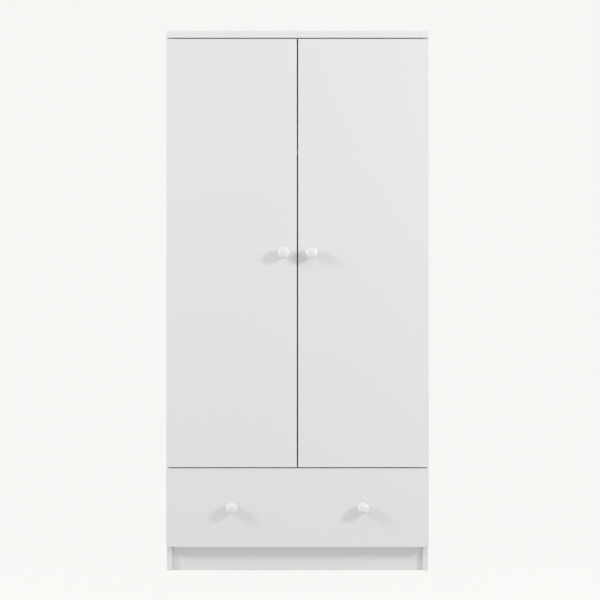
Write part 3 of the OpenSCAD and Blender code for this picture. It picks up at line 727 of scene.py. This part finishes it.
def roller(name):
    """A nylon roller: rounded tread and a raised hub round the axle."""
    turns, tread_steps = 64, 6
    bore, soft, dish = 2.55 * MM, 0.8 * MM, 1.2 * MM
    hub_top, hub_foot = 1.8 * MM, 2.2 * MM
    rim_foot, rim_top, rim_step = 2.4 * MM, 2 * MM, 0.1 * MM
    low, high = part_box(name)
    width = high.x - low.x
    radius = (high.z - low.z) / 2
    half = [
        (bore, 0), (bore + hub_top, 0), (bore + hub_foot, dish),
        (radius - rim_foot, dish), (radius - rim_top, rim_step),
    ]
    half += arc((radius - soft, soft), soft, 270, 360, tread_steps)
    profile = half + [(r, width - h) for r, h in reversed(half)]
    form = lathe(profile, turns)
    rim = [v for v in form.verts if abs(v.co.xy.length - bore) < ON_RING]
    bottom, top = (
        sorted((v for v in rim if abs(v.co.z - height) < ON_RING), key=polar)
        for height in (profile[0][1], profile[-1][1])
    )
    for index in range(len(bottom)):
        after = (index + 1) % len(bottom)
        form.faces.new((bottom[index], bottom[after], top[after], top[index]))
    bmesh.ops.recalc_face_normals(form, faces=form.faces)
    place = Vector((low.x, (low.y + high.y) / 2, (low.z + high.z) / 2))
    form.transform(Matrix.Translation(place) @ Matrix.Rotation(math.pi / 2, 4, "Y"))
    return stands_for(piece_from(form, name + "_moulded", [plastic_material()]), name)


def polar(vertex):
    """Angle of a vertex about the Z axis."""
    return math.atan2(vertex.co.y, vertex.co.x)


# -------- fasteners by geometry nodes

def solids_of(name):
    """The separate round solids of a CAD node, each as rod_facts describes it."""
    place_digits = 5
    form = merged_copy(name)
    left = set(form.verts)
    found = []
    while left:
        solid = []
        waiting = [left.pop()]
        while waiting:
            vertex = waiting.pop()
            solid.append(vertex)
            for link in vertex.link_edges:
                other = link.other_vert(vertex)
                if other in left:
                    left.remove(other)
                    waiting.append(other)
        found.append(solid)
    rods = [rod_facts([vertex.co.copy() for vertex in solid]) for solid in found]
    form.free()
    return sorted(rods, key=lambda rod: tuple(round(value, place_digits)
                                              for value in rod["head"]))


def rod_facts(points):
    """Where a round solid's head is, which way it runs, its length and its two end radii."""
    low = Vector([min(point[axis] for point in points) for axis in range(3)])
    high = Vector([max(point[axis] for point in points) for axis in range(3)])
    extent = high - low
    axis = min(range(3), key=lambda k: abs(extent[k - 1] - extent[k - 2]))
    middle = (low + high) / 2
    ends = []
    for corner in (low, high):
        rim = [p for p in points if abs(p[axis] - corner[axis]) < ON_PLANE]
        away = [Vector([p[k] - middle[k] if k != axis else 0 for k in range(3)]).length
                for p in rim]
        ends.append(max(away))
    head_low = ends[0] >= ends[1]
    head = middle.copy()
    head[axis] = low[axis] if head_low else high[axis]
    way = Vector((0, 0, 0))
    way[axis] = 1 if head_low else -1
    return {"head": head, "way": way, "length": extent[axis],
            "head_radius": max(ends), "end_radius": min(ends)}


def fastener_tree(name, lengths):
    """A new geometry tree: points, lengths in mm and a material in, and geometry out."""
    tree = bpy.data.node_groups.new(name, "GeometryNodeTree")
    add_socket(tree, "Geometry", "Geometry")
    for label, value in lengths.items():
        add_socket(tree, label, "Float", value=value * MM)
    add_socket(tree, "Material", "Material")
    add_socket(tree, "Geometry", "Geometry", way="OUTPUT")
    given = tree.nodes.new("NodeGroupInput").outputs
    made = tree.nodes.new("NodeGroupOutput").inputs
    return tree, given, made


def screw_tree():
    """Geometry tree that sets a cross-recessed screw on every point, along the point's way."""
    name = "Screws on points"
    if name in bpy.data.node_groups:
        return bpy.data.node_groups[name]
    tree, given, made = fastener_tree(name, SCREW_SIZES)
    head = add_node(tree, "GeometryNodeMeshCone",
                    {"Vertices": 32, "Side Segments": 1, "Radius Bottom": given["Head Radius"],
                     "Radius Top": given["Head Bottom Radius"], "Depth": given["Head Height"]})
    cross = cross_slot(tree, given["Recess Length"], given["Recess Width"],
                       given["Recess Depth"])
    cut = cut_away(tree, head.outputs["Mesh"], cross)
    shank = add_node(tree, "GeometryNodeMeshCylinder",
                     {"Vertices": 20, "Side Segments": 1, "Radius": given["Shank Radius"],
                      "Depth": given["Shank Length"]})
    half = product(tree, given["Shank Length"], 0.5)
    below = add_node(tree, "ShaderNodeMath", {0: half, 1: given["Head Height"]},
                     operation="ADD")
    lift = add_node(tree, "ShaderNodeCombineXYZ", {"Z": below.outputs[0]})
    placed = add_node(tree, "GeometryNodeTransform",
                      {"Geometry": shank.outputs["Mesh"], "Translation": lift.outputs[0]})
    whole = tree.nodes.new("GeometryNodeJoinGeometry")
    tree.links.new(cut, whole.inputs[0])
    tree.links.new(placed.outputs[0], whole.inputs[0])
    set_on_points(tree, given, made, whole.outputs[0])
    return tree


def cam_tree():
    """Geometry tree that sets a cam lock on every point: a dished disc with a cross slot."""
    name = "Cam locks on points"
    if name in bpy.data.node_groups:
        return bpy.data.node_groups[name]
    tree, given, made = fastener_tree(name, {
        "Radius": 7.5, "Height": 12.5, "Rim": 1.1, "Dish": 0.8, "Slot Length": 8.4,
        "Slot Width": 1.9, "Slot Depth": 3.0,
    })
    disc = add_node(tree, "GeometryNodeMeshCylinder",
                    {"Vertices": 48, "Side Segments": 1, "Radius": given["Radius"],
                     "Depth": given["Height"]})
    lift = add_node(tree, "ShaderNodeCombineXYZ", {"Z": product(tree, given["Height"], 0.5)})
    body = add_node(tree, "GeometryNodeTransform",
                    {"Geometry": disc.outputs["Mesh"], "Translation": lift.outputs[0]})
    inside = add_node(tree, "ShaderNodeMath", {0: given["Radius"], 1: given["Rim"]},
                      operation="SUBTRACT")
    dish = add_node(tree, "GeometryNodeMeshCylinder",
                    {"Vertices": 48, "Side Segments": 1, "Radius": inside.outputs[0],
                     "Depth": product(tree, given["Dish"], 2.0)})
    cross = cross_slot(tree, given["Slot Length"], given["Slot Width"], given["Slot Depth"])
    cut = cut_away(tree, body.outputs[0], [dish.outputs["Mesh"], *cross])
    set_on_points(tree, given, made, cut)
    return tree


def cross_slot(tree, length, width, depth):
    """Two crossed bars, sunk as deep below the surface as they stand above it."""
    bars = []
    twice = product(tree, depth, 2.0)
    for turn in (0.0, math.pi / 2):
        size = add_node(tree, "ShaderNodeCombineXYZ",
                        {"X": length, "Y": width, "Z": twice})
        bar = add_node(tree, "GeometryNodeMeshCube", {"Size": size.outputs[0]})
        turned = add_node(tree, "GeometryNodeTransform",
                          {"Geometry": bar.outputs["Mesh"], "Rotation": (0.0, 0.0, turn)})
        bars.append(turned.outputs[0])
    return bars


def cut_away(tree, body, tools):
    """Cuts one form after another out of a body."""
    for tool in tools:
        cut = tree.nodes.new("GeometryNodeMeshBoolean")
        cut.operation = "DIFFERENCE"
        cut.solver = "EXACT"
        tree.links.new(body, cut.inputs["Mesh 1"])
        tree.links.new(tool, cut.inputs["Mesh 2"])
        body = cut.outputs["Mesh"]
    return body


def set_on_points(tree, given, made, form):
    """Ends a tree: the form on every point, turned along the point's way, made real."""
    way = add_node(tree, "GeometryNodeInputNamedAttribute", {"Name": "way"},
                   data_type="FLOAT_VECTOR")
    turn = add_node(tree, "FunctionNodeAlignRotationToVector",
                    {"Vector": way.outputs["Attribute"]}, axis="Z")
    rows = add_node(tree, "GeometryNodeInstanceOnPoints",
                    {"Points": given["Geometry"], "Instance": form,
                     "Rotation": turn.outputs[0]})
    real = add_node(tree, "GeometryNodeRealizeInstances", {"Geometry": rows.outputs[0]})
    coat = add_node(tree, "GeometryNodeSetMaterial",
                    {"Geometry": real.outputs[0], "Material": given["Material"]})
    tree.links.new(coat.outputs[0], made["Geometry"])


def grown(name, tree, rods, values, material):
    """Runs a tree on one point for each rod, and turns the result into a plain piece."""
    points = bpy.data.meshes.new(name + "_points")
    points.from_pydata([rod["head"] for rod in rods], [], [])
    ways = points.attributes.new("way", "FLOAT_VECTOR", "POINT")
    for item, rod in zip(ways.data, rods):
        item.vector = rod["way"]
    maker = bpy.data.objects.new(name, points)
    bpy.context.scene.collection.objects.link(maker)
    grow = maker.modifiers.new("Grow", "NODES")
    grow.node_group = tree
    sockets = {
        item.name: item.identifier for item in tree.interface.items_tree
        if item.in_out == "INPUT"
    }
    for label, value in values.items():
        grow[sockets[label]] = value
    grow[sockets["Material"]] = material
    plain(maker)
    mesh = maker.data
    bpy.data.objects.remove(maker)
    if not mesh.polygons:
        raise RuntimeError(f"the tree made nothing for {name}")
    return piece_from_mesh(mesh, name, [material])


def screw_values(radius, neck, height, shank, length, recess):
    """Values for the screw tree, from the whole length and the recess's length, width, depth."""
    return dict(zip(SCREW_SIZES, (radius, neck, height, shank, length - height, *recess)))


def screws(name):
    """Cross-recessed screws in place of a CAD node's plain ones, one size at a time."""
    radius_digits, length_digits = 5, 4
    small_head, short, long = 3.9 * MM, 20 * MM, 35 * MM
    flush_height, pan_height, pan_taper = 1.9 * MM, 2.3 * MM, 0.96
    recess_span, recess_bar = 1.1, 0.22
    rods = solids_of(name)
    kinds = sorted({
        (round(rod["head_radius"], radius_digits), round(rod["length"], length_digits))
        for rod in rods
    })
    for number, (radius, length) in enumerate(kinds):
        same = [
            rod for rod in rods
            if abs(rod["head_radius"] - radius) < SAME_RADIUS
            and abs(rod["length"] - length) < SAME_LENGTH
        ]
        flush = (radius < small_head and length < short) or length > long
        shank = same[0]["end_radius"]
        head = flush_height if flush else pan_height
        recess = (radius * recess_span, radius * recess_bar, sizes().recess_depth)
        values = screw_values(radius, shank if flush else radius * pan_taper, head, shank,
                              length, recess)
        piece = grown(f"{name}_{number}", screw_tree(), same, values, steel_material())
        stands_for(piece, name)


def nails(name):
    """Nails with flat heads along the back."""
    head_height, head_taper = 0.7 * MM, 0.97
    recess = (2.2 * MM, 0.25 * MM, 0.12 * MM)
    rods = solids_of(name)
    radius = rods[0]["head_radius"]
    values = screw_values(radius, radius * head_taper, head_height, rods[0]["end_radius"],
                          rods[0]["length"], recess)
    stands_for(grown(name + "_driven", screw_tree(), rods, values, steel_material()), name)


def cams(name, outward):
    """Cam locks in place of a CAD node's plain discs, with their bolts where it has them."""
    least_disc, collar_height, shank_share = 6 * MM, 8 * MM, 0.8
    recess = (3 * MM, 0.6 * MM, 0.8 * MM)
    rods = solids_of(name)
    discs = [rod for rod in rods if rod["head_radius"] > least_disc]
    bolts = [rod for rod in rods if rod["head_radius"] <= least_disc]
    for disc in discs:
        turn_to_face(disc, outward)
    values = {"Radius": discs[0]["head_radius"], "Height": discs[0]["length"]}
    stands_for(grown(name + "_cast", cam_tree(), discs, values, steel_material()), name)
    if bolts:
        radius = bolts[0]["head_radius"]
        values = screw_values(radius, radius, collar_height, radius * shank_share,
                              bolts[0]["length"], recess)
        stands_for(grown(name + "_bolts", screw_tree(), bolts, values, steel_material()), name)


def turn_to_face(disc, outward):
    """Turns a cam's slot to the open face: down under a deck, in or out on a side."""
    axis = max(range(3), key=lambda k: abs(disc["way"][k]))
    start = disc["head"].copy()
    end = start + disc["way"] * disc["length"]
    inner, outer = sorted((start, end), key=lambda point: abs(point[axis]))
    if axis == 2:
        inner, outer = sorted((start, end), key=lambda point: point.z)
    if outward:
        inner, outer = outer, inner
    disc["head"] = inner
    disc["way"] = (outer - inner).normalized()


# -------- stage

def aim(place, target):
    """Rotation that looks from one point at another."""
    return (Vector(target) - Vector(place)).to_track_quat("-Z", "Y").to_euler()


def soft_light(name, place, width, height, watts, colour):
    """A rectangular softbox aimed at the middle of the fronts."""
    lamp = bpy.data.lights.new(name, "AREA")
    lamp.shape = "RECTANGLE"
    lamp.size = width
    lamp.size_y = height
    lamp.energy = watts
    lamp.color = colour
    holder = bpy.data.objects.new(name, lamp)
    holder.location = place
    holder.rotation_euler = aim(place, LIT_POINT)
    bpy.context.scene.collection.objects.link(holder)


def room_light(tree):
    """Even light from all round, a little less from the front, and pale where it is seen."""
    air = tree.nodes["Background"]
    place = tree.nodes.new("ShaderNodeTexCoord")
    way = add_node(tree, "ShaderNodeSeparateXYZ", {"Vector": place.outputs["Generated"]})
    front = add_node(tree, "ShaderNodeMapRange",
                     {"Value": way.outputs["Y"], "From Min": -1.0, "From Max": -0.5,
                      "To Min": ROOM_FRONT, "To Max": ROOM_REST})
    grey = add_node(tree, "ShaderNodeCombineColor",
                    {channel: front.outputs["Result"] for channel in ("Red", "Green", "Blue")})
    path = tree.nodes.new("ShaderNodeLightPath")
    seen = mix_colour(tree, path.outputs["Is Camera Ray"], grey.outputs["Color"],
                      bpy.context.scene.wardrobe_stage.floor_colour)
    tree.links.new(seen, air.inputs["Color"])
    air.inputs["Strength"].default_value = 1.0


def backdrop_material():
    """Pale paper that shows its own colour and takes only a faint shadow."""
    colour = bpy.context.scene.wardrobe_stage.floor_colour
    material = bpy.data.materials.new("backdrop_paper")
    material.use_nodes = True
    tree = material.node_tree
    tree.nodes.clear()
    place = tree.nodes.new("ShaderNodeTexCoord")
    grain = noise(tree, place.outputs["Object"], scale=900.0, detail=3.0)
    relief = add_node(tree, "ShaderNodeBump", {"Height": grain, "Distance": 0.02 * MM})
    paper = add_node(tree, "ShaderNodeBsdfDiffuse",
                     {"Color": (*shade_of(colour, PAPER_SHARE), 1),
                      "Normal": relief.outputs["Normal"]})
    path = tree.nodes.new("ShaderNodeLightPath")
    glow = add_node(tree, "ShaderNodeEmission", {"Color": (*colour, 1)})
    strength = spread(tree, path.outputs["Is Camera Ray"], PAPER_LIGHT, PAPER_SEEN)
    tree.links.new(strength, glow.inputs["Strength"])
    both = tree.nodes.new("ShaderNodeAddShader")
    tree.links.new(paper.outputs[0], both.inputs[0])
    tree.links.new(glow.outputs[0], both.inputs[1])
    output = tree.nodes.new("ShaderNodeOutputMaterial")
    tree.links.new(both.outputs[0], output.inputs["Surface"])
    return material


def backdrop():
    """One sheet: floor, a wide bend and a wall behind."""
    half_width, near, bend, far, height = 9.0, -9.0, 1.5, 4.5, 7.0
    steps = 24
    outline = [(near, 0.0)]
    outline += [
        (far + bend * math.sin(turn), bend - bend * math.cos(turn))
        for turn in (math.pi / 2 * step / steps for step in range(steps + 1))
    ]
    outline.append((far + bend, height))
    form = bmesh.new()
    rows = [[form.verts.new((side * half_width, y, z)) for side in (-1, 1)] for y, z in outline]
    for row, after in zip(rows, rows[1:]):
        form.faces.new((row[0], row[1], after[1], after[0]))
    mesh = bpy.data.meshes.new("backdrop")
    form.to_mesh(mesh)
    form.free()
    mesh.materials.append(backdrop_material())
    mesh.shade_smooth()
    sheet = bpy.data.objects.new("backdrop", mesh)
    bpy.context.scene.collection.objects.link(sheet)


# -------- operators

class WARDROBE_OT_stage(Operator):
    """Builds the floor, the backdrop, the soft lights and the camera"""

    bl_idname = "wardrobe.stage"
    bl_label = "Stage"

    def execute(self, context):
        scene = context.scene
        setting = scene.wardrobe_stage
        scene.view_settings.view_transform = "Standard"
        world = bpy.data.worlds.new("Soft room")
        world.use_nodes = True
        room_light(world.node_tree)
        scene.world = world
        backdrop()
        for name, facts in SOFT_LIGHTS.items():
            soft_light(name, *facts)
        camera = bpy.data.cameras.new("Camera")
        camera.sensor_width = 36.0
        camera.lens = camera.sensor_width * setting.camera_distance / setting.view_width
        holder = bpy.data.objects.new("Camera", camera)
        holder.location = (setting.camera_side, FRONT_Y - setting.camera_distance,
                           setting.camera_height)
        holder.rotation_euler = (math.pi / 2, 0, 0)
        scene.collection.objects.link(holder)
        scene.camera = holder
        return {"FINISHED"}


class WARDROBE_OT_boards(Operator):
    """Finishes every board: carcass, doors and drawer"""

    bl_idname = "wardrobe.boards"
    bl_label = "Boards"

    def execute(self, context):
        for name, banded in BANDED.items():
            board(name, banded)
        return {"FINISHED"}


class WARDROBE_OT_sheets(Operator):
    """Finishes the hardboard back panels and the drawer bottom"""

    bl_idname = "wardrobe.sheets"
    bl_label = "Hardboard sheets"

    def execute(self, context):
        for name, white_side in SHEETS.items():
            board(name, (), white_side)
        softened("back_joining_strip", plastic_material())
        return {"FINISHED"}


class WARDROBE_OT_knobs(Operator):
    """Turns the four knobs"""

    bl_idname = "wardrobe.knobs"
    bl_label = "Knobs"

    def execute(self, context):
        for name in KNOBS:
            knob(name)
        return {"FINISHED"}


class WARDROBE_OT_hardware(Operator):
    """Finishes the hinges, the brackets, the rail and its sockets"""

    bl_idname = "wardrobe.hardware"
    bl_label = "Hinges and rail"

    def execute(self, context):
        for name in METAL_PARTS:
            softened(name, steel_material())
        softened("hanging_rail", chrome_material(), RAIL_ROUND)
        for name in ("left_hinge_pins", "right_hinge_pins", "shelf_pins", "cabinet_cam_bolts"):
            carried(name, steel_material())
        carried("cabinet_dowels", beech_material())
        carried("drawer_bottom_batten", beech_material())
        carried("door_bumpers", rubber_material())
        return {"FINISHED"}


class WARDROBE_OT_runners(Operator):
    """Finishes the runners and moulds their rollers"""

    bl_idname = "wardrobe.runners"
    bl_label = "Runners"

    def execute(self, context):
        for name in RUNNERS:
            softened(name, epoxy_material(), RUNNER_ROUND)
        for name in ROLLERS:
            roller(name)
        return {"FINISHED"}


class WARDROBE_OT_fasteners(Operator):
    """Grows the screws, nails and cam locks"""

    bl_idname = "wardrobe.fasteners"
    bl_label = "Fasteners"

    def execute(self, context):
        for name in SCREWS:
            screws(name)
        nails("back_panel_nails")
        cams("cabinet_cam_locks", outward=False)
        cams("drawer_cam_fittings", outward=True)
        return {"FINISHED"}


class WARDROBE_PT_panel(Panel):
    """Sidebar panel with the wardrobe's settings and steps"""

    bl_label = "Wardrobe"
    bl_idname = "WARDROBE_PT_panel"
    bl_space_type = "VIEW_3D"
    bl_region_type = "UI"
    bl_category = "Wardrobe"

    def draw(self, context):
        layout = self.layout
        for group in (context.scene.wardrobe_sizes, context.scene.wardrobe_colours,
                      context.scene.wardrobe_stage):
            box = layout.box()
            for key in group.__annotations__:
                box.prop(group, key)
        for step in STEPS:
            layout.operator(step.bl_idname)


STEPS = (
    WARDROBE_OT_stage, WARDROBE_OT_boards, WARDROBE_OT_sheets, WARDROBE_OT_knobs,
    WARDROBE_OT_hardware, WARDROBE_OT_runners, WARDROBE_OT_fasteners,
)
CLASSES = (WardrobeSizes, WardrobeColours, WardrobeStage, *STEPS, WARDROBE_PT_panel)
SETTINGS = {
    "wardrobe_sizes": WardrobeSizes,
    "wardrobe_colours": WardrobeColours,
    "wardrobe_stage": WardrobeStage,
}


def register():
    """Registers the classes and the scene's settings."""
    for cls in CLASSES:
        bpy.utils.register_class(cls)
    for name, group in SETTINGS.items():
        setattr(bpy.types.Scene, name, PointerProperty(type=group))


def unregister():
    """Removes the settings and the classes."""
    for name in SETTINGS:
        delattr(bpy.types.Scene, name)
    for cls in reversed(CLASSES):
        bpy.utils.unregister_class(cls)


def main():
    """Registers the classes, then builds the stage and every finished piece."""
    register()
    for step in STEPS:
        group, action = step.bl_idname.split(".")
        getattr(getattr(bpy.ops, group), action)()


if __name__ == "__main__":
    main()
